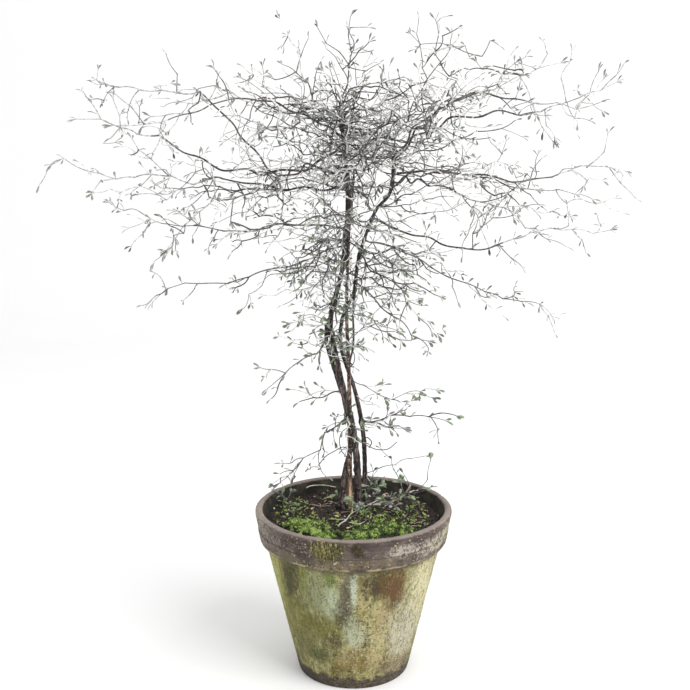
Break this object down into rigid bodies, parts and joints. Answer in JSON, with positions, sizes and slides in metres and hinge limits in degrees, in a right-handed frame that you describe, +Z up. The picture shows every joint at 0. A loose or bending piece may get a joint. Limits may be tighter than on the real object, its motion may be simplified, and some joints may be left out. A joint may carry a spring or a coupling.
{
  "type": "potted corokia",
  "caption": "Wire-netting bush trained as a small open tree: plaited thin stems, zigzag twigs and tiny spoon leaves in an aged clay pot.",
  "frame": {"origin": "middle of the pot's flat underside", "axes": "+Z up along the pot's axis, +X to the right and +Y away from somebody who looks at the plant's front"},
  "size_m": [0.7553, 0.6594, 0.8629],
  "materials": {
    "clay": "matte",
    "soil": "matte",
    "moss": "matte",
    "dark_bark": "matte",
    "red_bark": "matte",
    "grey_bark": "matte",
    "foliage": "satin"
  },
  "bodies": {
    "root": {"pot": "clay", "soil": "soil", "moss": "moss", "stem_main": "dark_bark", "stem_straight": "red_bark", "stem_right": "dark_bark", "stem_left": "dark_bark", "bough_left": "grey_bark", "bough_left_upper": "grey_bark", "bough_left_mid": "grey_bark", "bough_front_left_upper": "grey_bark", "bough_back_left_upper": "grey_bark", "bough_front_left": "grey_bark", "bough_back_left": "grey_bark", "bough_right_upper": "grey_bark", "bough_right": "grey_bark", "bough_right_low": "grey_bark", "bough_front_right_upper": "grey_bark", "bough_back_right_upper": "grey_bark", "bough_front_right": "grey_bark", "bough_back_right": "grey_bark", "crown_top": "foliage", "crown_top_left": "foliage", "crown_top_right": "foliage", "crown_top_front": "foliage", "crown_top_back": "foliage", "crown_front_upper": "foliage", "crown_front": "foliage", "crown_back": "foliage", "crown_front_left": "foliage", "crown_front_right": "foliage", "spray_right_upper": "foliage", "spray_right_high": "foliage", "spray_back_right_upper": "foliage", "spray_back_upper": "foliage", "spray_back_left_upper": "foliage", "spray_left_upper": "foliage", "spray_left": "foliage", "spray_front_left_upper": "foliage", "spray_front_upper": "foliage", "spray_front_right_high": "foliage", "spray_front_right_upper": "foliage", "spray_right": "foliage", "spray_back_right": "foliage", "spray_back_left": "foliage", "spray_left_back": "foliage", "spray_left_mid": "foliage", "spray_front_left": "foliage", "spray_front_right": "foliage", "spray_right_front": "foliage", "spray_right_low": "foliage", "spray_left_low": "foliage", "spray_left_lowest": "foliage", "spray_right_lowest": "foliage", "spray_back_low": "foliage", "shoot_trunk_right": "foliage", "shoot_trunk_left": "foliage", "shoot_low_right": "foliage", "shoot_low_left": "foliage", "shoot_at_soil": "foliage"}
  },
  "joints": []
}
